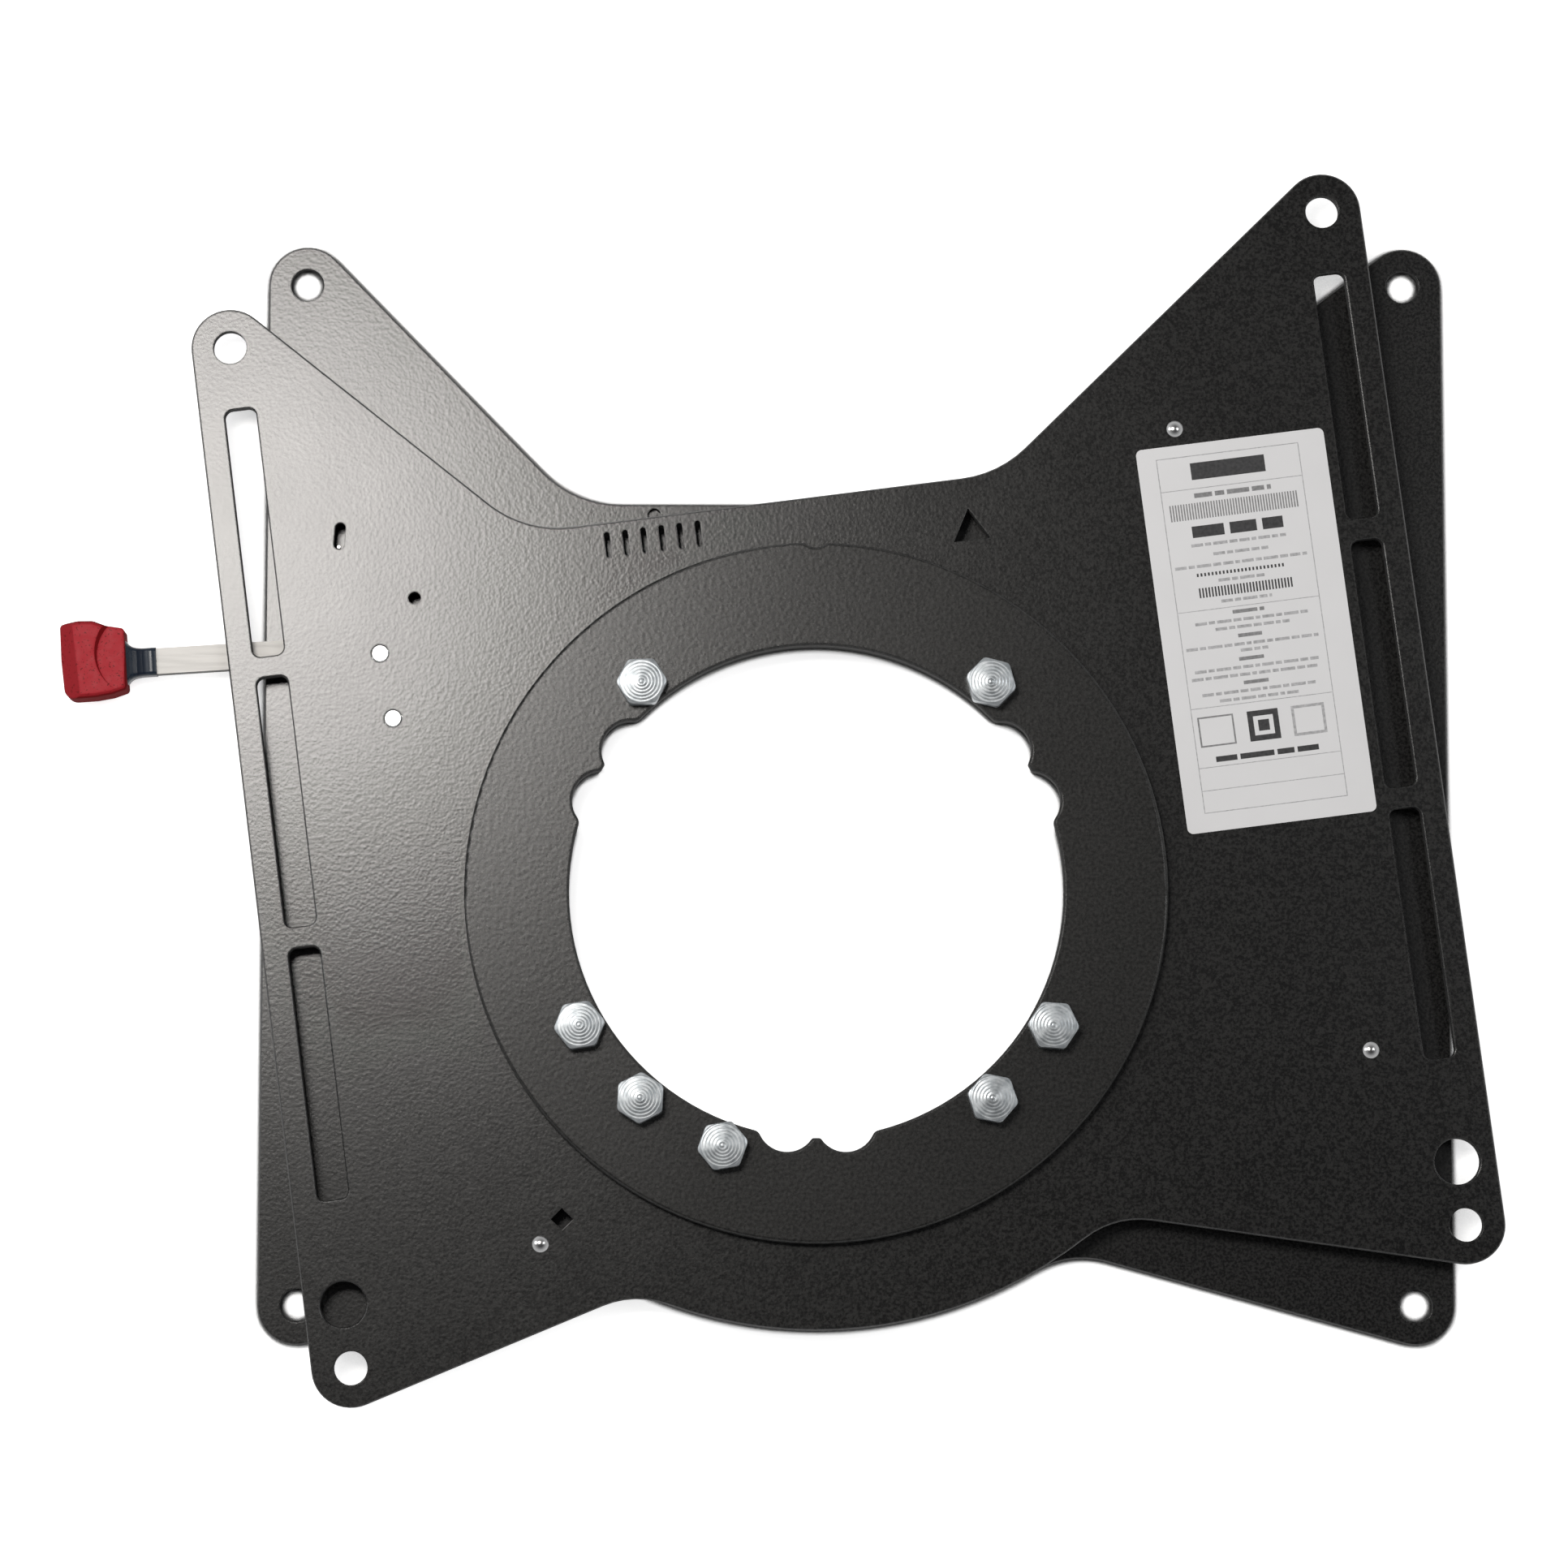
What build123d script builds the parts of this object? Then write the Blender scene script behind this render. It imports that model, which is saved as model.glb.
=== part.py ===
from build123d import *
import math
import os

# Swivel seat base for a caravan or camper van seat.
#
# Two steel plates with the same bow-tie outline lie flat, one over the other. The lower one
# is bolted to the seat box, the upper one carries the seat. A stack of laser-cut rings is
# bolted to the lower plate round a scalloped centre opening, and the upper plate turns
# between them. A spring-loaded lever under the upper plate drops its nose into a notch of
# the index ring and so locks the seat straight ahead or straight back.
#
# Frame: the origin is on the swivel axis at the underside of the lower plate, +Z is up.
# The lower plate lies square to the axes. The upper plate and all it carries are drawn
# square too and are then turned by REST_TURN, which is how the base is shown.
# All sizes are in millimetres.

# Plate outline, shared by both plates
PLATE_T = 4.0
EAR_PITCH_X = 400.0
EAR_PITCH_Y = 371.0
EAR_MID_X = 14.5
EAR_MID_Y = 38.0
EAR_R = 14.0
EAR_HOLE_D = 12.0
WAIST_Y = 142.5
WAIST_LEFT_X = 87.5
WAIST_RIGHT_X = 84.9
WAIST_R = 40.0
LOBE_R = 156.5
FLANK_DEG = 15.3
FLANK_R = 32.0
PLATE_EDGE = 0.5

# How far the upper plate is turned against the lower one, in degrees
REST_TURN = 7.33

# Centre opening: a circle with three pairs of scallops
OPENING_R = 88.5
SCALLOP_R = 10.6
SCALLOP_INSET = 5.0
SCALLOP_TOOTH_W = 3.0
SCALLOP_PAIRS = 3
SCALLOP_FIRST = 30.0
SCALLOP_LIP_R = 3.0
SCALLOP_TOOTH_R = 1.1
# how much wider the opening is in the layers under the clamp ring
UNDERCUT = 1.8

# Ring stack: each ring's width is counted from the opening or from the ring inside it
BOLT_INSET = 8.9
HUB_WALL = 21.5
INDEX_STEP = 15.0
INDEX_T = 6.0
NOTCH_DEPTH = 4.0
NOTCH_MOUTH = 8.6
NOTCH_FLOOR = 5.4
SLIDE_T = 1.0
SLIDE_SETBACK = 1.5
SLIDE_FIT = 0.2
CLAMP_OVERHANG = 1.0
CLAMP_T = 4.0
CLAMP_EDGE = 1.1
CLAMP_LIP = 0.8
RUN_GAP = 0.15
TURN_FIT = 0.25

# Marks in the clamp ring
RIM_MARK_R = 6.3
RIM_MARK_DEPTH = 1.7
RIM_MARK_BLEND = 2.0
VEE_WIDTH = 6.8
VEE_TIP = 1.6
VEE_DEPTH = 2.3

# Ring bolts, M10 with hexagon heads
BOLT_ANGLES = (50.0, 130.0, 210.0, 230.0, 250.0, 310.0, 330.0)
BOLT_TURNS = (-14.5, 2.0, 9.0, 27.5, 10.0, -11.0, -4.0)
BOLT_D = 10.0
BOLT_CLEAR_D = 10.6
BOLT_TAP_FIT = 0.1
HEAD_AF = 16.0
HEAD_H = 6.4
HEAD_CORNER_R = 1.8
HEAD_CHAMFER = 0.45
HEAD_FLAT_INSET = 0.3
DIMPLE_D = 2.4
DIMPLE_DEPTH = 0.35
BOLT_END_UP = 0.5

# Slots along both side edges of the upper plate
SLOT_W = 11.4
SLOT_L = 91.0
SLOT_PITCH = 98.6
SLOT_COUNT = 3
SLOT_EDGE = 9.2
SLOT_MID_Y = 56.5
SLOT_CORNER_R = 3.0
WINDOW_EDGE = 0.4

# Round holes beside the two ears of the lobe side
ACCESS_D = 16.4
ACCESS_FROM_EAR = 22.7

# Small cut-outs of the upper plate
GAUGE_X = -130.1
GAUGE_Y = 123.9
GAUGE_D = 4.5
SQUARE_X = -104.8
SQUARE_Y = -104.6
SQUARE_SIDE = 5.5
SQUARE_TURN = 37.7
ARROW_X = 72.2
ARROW_Y = 125.4
ARROW_W = 13.2
ARROW_H = 11.6
STENCIL_X = -42.0
STENCIL_Y = 134.3
STENCIL_COUNT = 6
STENCIL_PITCH = 6.6
STENCIL_W = 2.0
STENCIL_L = 9.5

# Small hole of the lower plate near its straight edge
TOOL_HOLE_X = -58.7
TOOL_HOLE_FROM_EDGE = 3.8
TOOL_HOLE_D = 4.6
TOOL_HOLE_DEPTH = 2.6

# Glide pads under the upper plate, each held by one dome rivet
PAD_PLACES = ((150.4, 150.7), (189.5, -81.5), (-113.4, -112.5))
PAD_R = 9.0
PAD_EDGE = 1.2
PAD_GAP = 0.3
PAD_BORE_D = 5.0
PAD_SINK_D = 9.0
PAD_SINK = 2.6
RIVET_SHANK_D = 4.8
RIVET_HEAD_D = 5.9
RIVET_HEAD_H = 1.3
RIVET_TAIL_D = 7.6
RIVET_TAIL_H = 1.2

# Lever and its pins. The lever is drawn with its pivot at the origin, its nose towards +X
PIVOT_X = -144.8
PIVOT_Y = 105.4
STOP_X = -143.0
STOP_Y = 81.4
LEVER_TURN = -3.6
LEVER_T = 5.0
LEVER_W = 9.4
LEVER_OFFSET = 3.1
LEVER_OUT = 107.0
LEVER_LIFT = 1.0
PIVOT_EYE_R = 9.5
LEVER_CORNER_R = 2.5
PIN_D = 8.0
PIN_FIT = 0.15
PIN_NECK_D = 6.2
PIN_HEAD_D = 13.0
PIN_HEAD_T = 0.7
PIN_PROUD = 0.4
PIN_EDGE = 0.4
STOP_TRAVEL_LOW = 8.5
STOP_TRAVEL_HIGH = 6.5
STOP_PIN_D = 7.0
STOP_WALL = 4.0
STOP_WEB_DEG = 13.0
NOSE_AT = 141.0
NOSE_GAP = 0.3
NOSE_TIP_W = 5.0
NOSE_ROOT_W = 9.5
WASHER_D = 15.0

# Knob and the sleeve between it and the bar
SLEEVE_FROM = 81.0
SLEEVE_L = 10.5
SLEEVE_W = 10.2
SLEEVE_H = 6.4
SLEEVE_END_W = 15.8
SLEEVE_END_H = 9.0
KNOB_L = 23.3
KNOB_H = 12.0
# both long sides of the knob, from its inner end outwards, counted from the bar's middle line
KNOB_LOW_SIDE = ((0, -10.3), (-5.5, -11.9), (-11.5, -12.6), (-22.5, -12.7))
KNOB_HIGH_SIDE = ((0, 11.8), (-6.3, 13.1), (-11.0, 15.2), (-16.5, 15.5), (-23.1, 14.4))
KNOB_CORNER_R = 1.4
KNOB_HEEL_R = 4.2
KNOB_SIDE_R = 5.0
KNOB_EDGE_R = 1.6
FACET_FROM = 17.5
FACET_DROP = 3.6
FACET_TURN = 3.8
THUMB_R = 16.3
THUMB_X = 5.4
THUMB_Y = 2.0
THUMB_DEPTH = 0.75
THUMB_TILT = 3.5

# Return spring
ANCHOR_X = -154.2
ANCHOR_Y = 149.8
ANCHOR_L = 9.8
ANCHOR_W = 3.9
EYE_BACK = 18.0
EYE_D = 2.6
SPRING_D = 5.0
WIRE_D = 1.0
SPRING_COILS = 14
SPRING_HOOK_BEND = 1.6
SPRING_EYE_BEND = 1.2
SPRING_EYE_RUN = 3.5

# Label on the upper plate
LABEL_X = 169.4
LABEL_BELOW_RIVET = 6.2
LABEL_W = 68.6
LABEL_L = 141.0
LABEL_T = 0.2
LABEL_CORNER_R = 2.2

LABEL_Y = PAD_PLACES[0][1] - LABEL_BELOW_RIVET - LABEL_L / 2

# Radii of the ring stack
BOLT_CIRCLE_R = OPENING_R + BOLT_INSET
HUB_R = OPENING_R + HUB_WALL
INDEX_R = HUB_R + INDEX_STEP
SLIDE_OUT_R = INDEX_R - SLIDE_SETBACK
CLAMP_R = INDEX_R + CLAMP_OVERHANG
SCALLOP_AT_R = OPENING_R - SCALLOP_INSET

# Heights that follow from the stack
INDEX_Z = PLATE_T
HUB_Z = INDEX_Z + INDEX_T
UPPER_Z = HUB_Z + SLIDE_T + RUN_GAP
UPPER_TOP = UPPER_Z + PLATE_T
TOP_SLIDE_Z = UPPER_TOP + RUN_GAP
CLAMP_Z = TOP_SLIDE_Z + SLIDE_T
HUB_T = CLAMP_Z - HUB_Z
CLAMP_TOP = CLAMP_Z + CLAMP_T
LEVER_Z = PLATE_T + LEVER_LIFT
LEVER_TOP = LEVER_Z + LEVER_T

EAR_X = (EAR_MID_X - EAR_PITCH_X / 2, EAR_MID_X + EAR_PITCH_X / 2)
EAR_Y = (EAR_MID_Y - EAR_PITCH_Y / 2, EAR_MID_Y + EAR_PITCH_Y / 2)
EARS = [(x, y) for x in EAR_X for y in EAR_Y]


def polar(radius, degrees):
    a = math.radians(degrees)
    return (radius * math.cos(a), radius * math.sin(a))


def turned(point, degrees):
    a = math.radians(degrees)
    x, y = point
    return (x * math.cos(a) - y * math.sin(a), x * math.sin(a) + y * math.cos(a))


def dot(point, radius):
    return Pos(*point) * Circle(radius)


def lever_to_plate(point):
    x, y = turned(point, LEVER_TURN)
    return (x + PIVOT_X, y + PIVOT_Y)


def plate_to_lever(point):
    return turned((point[0] - PIVOT_X, point[1] - PIVOT_Y), -LEVER_TURN)


def touch_point(point, centre, radius, side):
    # where a line from the point touches a circle, on its left (1) or right (-1) side
    dx = centre[0] - point[0]
    dy = centre[1] - point[1]
    far = math.hypot(dx, dy)
    base = math.atan2(dy, dx)
    swing = math.asin(radius / far)
    run = math.sqrt(far * far - radius * radius)
    a = base + side * swing
    return (point[0] + run * math.cos(a), point[1] + run * math.sin(a))


def plate_outline():
    left, right = EAR_X
    low, high = EAR_Y
    waist_l = (-WAIST_LEFT_X, WAIST_Y)
    waist_r = (WAIST_RIGHT_X, WAIST_Y)
    top_l = touch_point(waist_l, (left, high), EAR_R, -1)
    top_r = touch_point(waist_r, (right, high), EAR_R, 1)
    # the flank lines leave the lobe-side ears at FLANK_DEG and meet the lobe circle
    s = math.sin(math.radians(FLANK_DEG))
    c = math.cos(math.radians(FLANK_DEG))
    low_l = (left + EAR_R * s, low - EAR_R * c)
    low_r = (right - EAR_R * s, low - EAR_R * c)
    meets = []
    for (px, py), way in ((low_l, 1), (low_r, -1)):
        ux, uy = way * c, s
        b = px * ux + py * uy
        k = px * px + py * py - LOBE_R * LOBE_R
        t = -b - math.sqrt(b * b - k)
        meets.append((px + t * ux, py + t * uy))
    body = Polygon(
        waist_l, top_l, (left, high), (left - EAR_R, high), (left - EAR_R, low), (left, low),
        low_l, meets[0], meets[1], low_r, (right, low), (right + EAR_R, low),
        (right + EAR_R, high), (right, high), top_r, waist_r, align=None)
    lobe = Circle(LOBE_R) & (Pos(0, WAIST_Y - 2 * LOBE_R) * Rectangle(4 * LOBE_R, 4 * LOBE_R))
    sketch = body + lobe
    for ear in EARS:
        sketch = sketch + dot(ear, EAR_R)
    sketch = round_at(sketch, (waist_l, waist_r), WAIST_R)
    return round_at(sketch, meets, FLANK_R)


def round_at(sketch, points, radius):
    # rounds the corners of a sketch that lie at the given points
    corners = []
    for point in points:
        near = sketch.vertices().sort_by_distance((point[0], point[1], 0))[0]
        corners.append(near)
    return fillet(corners, radius)


def opening():
    sketch = Circle(OPENING_R)
    lips = []
    teeth = []
    spread = (OPENING_R ** 2 + SCALLOP_AT_R ** 2 - SCALLOP_R ** 2) / (2 * OPENING_R * SCALLOP_AT_R)
    reach = math.degrees(math.acos(spread))
    # half the angle between the two scallops of a pair, from the tooth left between them
    half_pitch = reach + math.degrees(SCALLOP_TOOTH_W / 2 / OPENING_R)
    for i in range(SCALLOP_PAIRS):
        mid = SCALLOP_FIRST + i * 360 / SCALLOP_PAIRS
        for side in (-1, 1):
            at = mid + side * half_pitch
            sketch = sketch + dot(polar(SCALLOP_AT_R, at), SCALLOP_R)
            lips.append(polar(OPENING_R, at + side * reach))
            teeth.append(polar(OPENING_R, at - side * reach))
    sketch = round_at(sketch, lips, SCALLOP_LIP_R)
    return round_at(sketch, teeth, SCALLOP_TOOTH_R)


def wider_opening():
    # the same circle and scallops, cut UNDERCUT wider, which leaves no tooth
    sketch = Circle(OPENING_R + UNDERCUT)
    spread = (OPENING_R ** 2 + SCALLOP_AT_R ** 2 - SCALLOP_R ** 2) / (2 * OPENING_R * SCALLOP_AT_R)
    half_pitch = math.degrees(math.acos(spread) + SCALLOP_TOOTH_W / 2 / OPENING_R)
    for i in range(SCALLOP_PAIRS):
        mid = SCALLOP_FIRST + i * 360 / SCALLOP_PAIRS
        for side in (-1, 1):
            sketch = sketch + dot(polar(SCALLOP_AT_R, mid + side * half_pitch), SCALLOP_R + UNDERCUT)
    return sketch


def bolt_holes(diameter):
    holes = Sketch()
    for angle in BOLT_ANGLES:
        holes = holes + dot(polar(BOLT_CIRCLE_R, angle), diameter / 2)
    return holes


def slab(sketch, z, thickness):
    return Pos(0, 0, z) * extrude(sketch, thickness)


def edge_loop(solid, z, at_least):
    # the edges of the flat face at height z that belong to its outer wire
    top = solid.faces().filter_by(Axis.Z).sort_by(SortBy.AREA)
    top = [f for f in top if abs(f.center().Z - z) < 0.001][-1]
    return top.outer_wire().edges() if at_least else top.inner_wires()


OUTLINE = plate_outline()
OPENING = opening()
WIDER_OPENING = wider_opening()


def lower_plate():
    tool_y = WAIST_Y - TOOL_HOLE_FROM_EDGE
    cuts = WIDER_OPENING + bolt_holes(BOLT_D + 2 * BOLT_TAP_FIT)
    plate = slab(OUTLINE, 0, PLATE_T)
    plate = chamfer(edge_loop(plate, PLATE_T, True), PLATE_EDGE)
    for ear in EARS:
        cuts = cuts + dot(ear, EAR_HOLE_D / 2)
    tool_hole = slab(dot((TOOL_HOLE_X, tool_y), TOOL_HOLE_D / 2), PLATE_T - TOOL_HOLE_DEPTH, TOOL_HOLE_DEPTH)
    return plate - slab(cuts, 0, PLATE_T) - tool_hole


def upper_plate():
    windows = Sketch()
    for x in EAR_X:
        windows = windows + dot((x, EAR_Y[0] + ACCESS_FROM_EAR), ACCESS_D / 2)
    left = EAR_X[0] - EAR_R + SLOT_EDGE + SLOT_W / 2
    right = EAR_X[1] + EAR_R - SLOT_EDGE - SLOT_W / 2
    for x in (left, right):
        for i in range(SLOT_COUNT):
            y = SLOT_MID_Y + (i - (SLOT_COUNT - 1) / 2) * SLOT_PITCH
            windows = windows + Pos(x, y) * RectangleRounded(SLOT_W, SLOT_L, SLOT_CORNER_R)
    cuts = Circle(HUB_R + TURN_FIT)
    for ear in EARS:
        cuts = cuts + dot(ear, EAR_HOLE_D / 2)
    cuts = cuts + dot((GAUGE_X, GAUGE_Y), GAUGE_D / 2)
    cuts = cuts + Pos(SQUARE_X, SQUARE_Y) * Rot(0, 0, SQUARE_TURN) * Rectangle(SQUARE_SIDE, SQUARE_SIDE)
    arrow = Polygon((-ARROW_W / 2, -ARROW_H / 2), (ARROW_W / 2, -ARROW_H / 2), (0, ARROW_H / 2), align=None)
    cuts = cuts + Pos(ARROW_X, ARROW_Y) * arrow
    for i in range(STENCIL_COUNT):
        x = STENCIL_X + (i - (STENCIL_COUNT - 1) / 2) * STENCIL_PITCH
        cuts = cuts + Pos(x, STENCIL_Y) * Rot(0, 0, 90) * SlotOverall(STENCIL_L, STENCIL_W)
    cuts = cuts + anchor_slot()
    for place in PAD_PLACES:
        cuts = cuts + dot(place, PAD_BORE_D / 2)
    for place in ((PIVOT_X, PIVOT_Y), (STOP_X, STOP_Y)):
        cuts = cuts + dot(place, PIN_NECK_D / 2 + PIN_FIT)
    plate = slab(OUTLINE, UPPER_Z, PLATE_T)
    plate = chamfer(edge_loop(plate, UPPER_TOP, True), PLATE_EDGE)
    plate = plate - slab(windows, UPPER_Z, PLATE_T)
    rims = []
    for wire in edge_loop(plate, UPPER_TOP, False):
        rims = rims + list(wire.edges())
    plate = chamfer(rims, WINDOW_EDGE)
    return plate - slab(cuts, UPPER_Z, PLATE_T)


def index_ring():
    ring = Circle(INDEX_R) - WIDER_OPENING - bolt_holes(BOLT_CLEAR_D)
    # the flanks run on past the rim at the same slope
    floor = NOTCH_FLOOR / 2
    wide = NOTCH_MOUTH - floor
    lock = NOSE_AT - REST_TURN
    for at in (lock, lock + 180):
        notch = Polygon(
            (INDEX_R - NOTCH_DEPTH, -floor), (INDEX_R + NOTCH_DEPTH, -wide),
            (INDEX_R + NOTCH_DEPTH, wide), (INDEX_R - NOTCH_DEPTH, floor), align=None)
        ring = ring - Rot(0, 0, at) * notch
    return slab(ring, INDEX_Z, INDEX_T)


def hub_ring():
    return slab(Circle(HUB_R) - WIDER_OPENING - bolt_holes(BOLT_CLEAR_D), HUB_Z, HUB_T)


def slide_ring(z):
    return slab(Circle(SLIDE_OUT_R) - Circle(HUB_R + SLIDE_FIT), z, SLIDE_T)


def clamp_ring():
    # a rounded mark in the rim and a vee in the lip show where straight ahead is
    mark_y = CLAMP_R - RIM_MARK_DEPTH + RIM_MARK_R
    disc = Circle(CLAMP_R) - dot((0, mark_y), RIM_MARK_R)
    cosine = (CLAMP_R ** 2 + mark_y ** 2 - RIM_MARK_R ** 2) / (2 * CLAMP_R * mark_y)
    half = math.degrees(math.acos(cosine))
    disc = round_at(disc, (polar(CLAMP_R, 90 - half), polar(CLAMP_R, 90 + half)), RIM_MARK_BLEND)
    ring = slab(disc - OPENING, CLAMP_Z, CLAMP_T)
    rim = edge_loop(ring, CLAMP_TOP, True)
    ring = fillet(rim, CLAMP_EDGE)
    lip = edge_loop(ring, CLAMP_TOP, False)[0].edges()
    ring = chamfer(lip, CLAMP_LIP)
    vee = Polygon(
        (-VEE_WIDTH / 2, OPENING_R), (-VEE_TIP / 2, OPENING_R + VEE_DEPTH),
        (VEE_TIP / 2, OPENING_R + VEE_DEPTH), (VEE_WIDTH / 2, OPENING_R),
        (VEE_WIDTH / 2, OPENING_R - VEE_DEPTH), (-VEE_WIDTH / 2, OPENING_R - VEE_DEPTH), align=None)
    return ring - slab(vee + bolt_holes(BOLT_CLEAR_D), CLAMP_Z, CLAMP_T)


def ring_bolt(angle, turn):
    # the corners of the head are turned off by a cone, which leaves a round flat on top
    hexagon = RegularPolygon(HEAD_AF / 2, 6, major_radius=False)
    hexagon = extrude(fillet(hexagon.vertices(), HEAD_CORNER_R), HEAD_H)
    corner_r = HEAD_AF / math.sqrt(3)
    flat_r = HEAD_AF / 2 - HEAD_FLAT_INSET
    slope = HEAD_CHAMFER / (corner_r - flat_r)
    wide_r = 2 * corner_r
    profile = Polygon(
        (0, 0), (wide_r, 0), (wide_r, HEAD_H - slope * (wide_r - flat_r)),
        (flat_r, HEAD_H), (0, HEAD_H), align=None)
    crown = revolve(Plane.XZ * profile, Axis.Z)
    head = hexagon & crown
    dimple = Pos(0, 0, HEAD_H) * Cone(DIMPLE_D / 2 - DIMPLE_DEPTH, DIMPLE_D / 2, 2 * DIMPLE_DEPTH)
    shank_l = CLAMP_TOP - BOLT_END_UP
    shank = Pos(0, 0, -shank_l / 2) * Cylinder(BOLT_D / 2, shank_l)
    x, y = polar(BOLT_CIRCLE_R, angle)
    return Pos(x, y, CLAMP_TOP) * Rot(0, 0, turn) * (head - dimple + shank)


def glide_pad(place):
    low = PLATE_T + PAD_GAP
    height = UPPER_Z - low
    pad = Pos(0, 0, low + height / 2) * Cylinder(PAD_R, height)
    foot = pad.edges().filter_by(GeomType.CIRCLE).sort_by(Axis.Z)[0]
    pad = chamfer(foot, PAD_EDGE)
    bore = Pos(0, 0, low + height / 2) * Cylinder(PAD_BORE_D / 2, 2 * height)
    sink = Pos(0, 0, low) * Cylinder(PAD_SINK_D / 2, 2 * PAD_SINK)
    return Pos(*place) * (pad - bore - sink)


def pad_rivet(place):
    # dome head on the plate, shank through plate and pad, flared tail sunk in the pad
    low = PLATE_T + PAD_GAP + PAD_SINK
    shank_l = UPPER_TOP - low
    shank = Pos(0, 0, low + shank_l / 2) * Cylinder(RIVET_SHANK_D / 2, shank_l)
    tail = Pos(0, 0, low - RIVET_TAIL_H / 2) * Cylinder(RIVET_TAIL_D / 2, RIVET_TAIL_H)
    ball_r = ((RIVET_HEAD_D / 2) ** 2 + RIVET_HEAD_H ** 2) / (2 * RIVET_HEAD_H)
    ball = Pos(0, 0, UPPER_TOP + RIVET_HEAD_H - ball_r) * Sphere(ball_r)
    head = ball & Pos(0, 0, UPPER_TOP + RIVET_HEAD_H) * Box(RIVET_HEAD_D * 2, RIVET_HEAD_D * 2, RIVET_HEAD_H * 2)
    return Pos(*place) * (head + shank + tail)


def shoulder_pin(place, shank_d, head_d):
    # headed under the lever, riveted over in the upper plate
    neck_r = PIN_NECK_D / 2
    top = UPPER_TOP + PIN_PROUD
    under = LEVER_Z - PIN_HEAD_T
    profile = Polygon(
        (0, under), (head_d / 2, under), (head_d / 2, LEVER_Z), (shank_d / 2, LEVER_Z),
        (shank_d / 2, UPPER_Z), (neck_r, UPPER_Z), (neck_r, top - PIN_EDGE), (neck_r - PIN_EDGE, top),
        (0, top), align=None)
    return Pos(*place) * revolve(Plane.XZ * profile, Axis.Z)


def washer(place, bore_d):
    height = UPPER_Z - LEVER_TOP
    disc = Cylinder(WASHER_D / 2, height) - Cylinder(bore_d / 2 + PIN_FIT, height)
    return Pos(place[0], place[1], LEVER_TOP + height / 2) * disc


def nose_tip():
    # the point of the nose, in the lever's own drawing frame
    on_rim = polar(INDEX_R + NOSE_GAP, NOSE_AT - REST_TURN)
    return plate_to_lever(on_rim)


def lever_bar():
    # nose: a tapered finger that points at the swivel axis and grows out of the bar's end
    tip = nose_tip()
    way = NOSE_AT - REST_TURN - LEVER_TURN
    nose_l = (LEVER_OFFSET - tip[1]) / math.sin(math.radians(way))
    reach = tip[0] + nose_l * math.cos(math.radians(way))
    finger = Polygon(
        (0, -NOSE_TIP_W / 2), (nose_l, -NOSE_ROOT_W / 2), (nose_l, NOSE_ROOT_W / 2), (0, NOSE_TIP_W / 2), align=None)
    length = LEVER_OUT + reach
    bar = Pos((reach - LEVER_OUT) / 2, LEVER_OFFSET) * Rectangle(length, LEVER_W)
    shape = bar + dot((reach, LEVER_OFFSET), LEVER_W / 2) + Circle(PIVOT_EYE_R)
    shape = shape + Pos(*tip) * Rot(0, 0, way) * finger
    # tail with the curved slot that runs along the stop pin
    sx, sy = plate_to_lever((STOP_X, STOP_Y))
    far = math.hypot(sx, sy)
    at = math.degrees(math.atan2(sy, sx))
    slot_r = STOP_PIN_D / 2 + PIN_FIT
    first = at - STOP_TRAVEL_HIGH
    last = at + STOP_TRAVEL_LOW
    wall_r = slot_r + STOP_WALL
    ends = [polar(far, first), polar(far, last)]
    tail = Polygon((0, 0), polar(far, first - STOP_WEB_DEG), polar(far, last + STOP_WEB_DEG), align=None)
    tail = tail + dot(ends[0], wall_r) + dot(ends[1], wall_r)
    band = (Circle(far + wall_r) - Circle(far - wall_r)) & Polygon(
        (0, 0), polar(2 * far, first), polar(2 * far, last), align=None)
    tail = tail + band
    groove = (Circle(far + slot_r) - Circle(far - slot_r)) & Polygon(
        (0, 0), polar(2 * far, first), polar(2 * far, last), align=None)
    groove = groove + dot(ends[0], slot_r) + dot(ends[1], slot_r)
    shape = shape + tail - groove
    shape = shape - Circle(PIN_D / 2 + PIN_FIT) - dot(spring_eye(), EYE_D / 2)
    return slab(shape, LEVER_Z, LEVER_T)


def spring_eye():
    return (-EYE_BACK, LEVER_OFFSET)


def sleeve():
    # a short black collar that flares from the bar to the knob
    x0 = -SLEEVE_FROM
    bar_mid = LEVER_Z + LEVER_T / 2
    end_mid = PLATE_T + PAD_GAP + 0.3 + SLEEVE_END_H / 2
    # how far along, how much of the way to the end's width and height
    steps = ((0, 0), (0.48, 0), (0.66, 0.07), (0.8, 0.23), (0.91, 0.52), (1, 1))
    sections = []
    for along, grown in steps:
        plane = Plane(
            (x0 - along * SLEEVE_L, LEVER_OFFSET, bar_mid + grown * (end_mid - bar_mid)), x_dir=(0, 1, 0), z_dir=(-1, 0, 0))
        wide = SLEEVE_W + grown * (SLEEVE_END_W - SLEEVE_W)
        high = SLEEVE_H + grown * (SLEEVE_END_H - SLEEVE_H)
        sections.append(plane * RectangleRounded(wide, high, 1.4 + 1.6 * grown))
    return loft(Sketch() + sections, ruled=True) - bar_core()


def bar_core():
    length = LEVER_OUT
    core = Pos(-length / 2, LEVER_OFFSET) * Rectangle(length, LEVER_W)
    return slab(core, LEVER_Z, LEVER_T)


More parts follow.
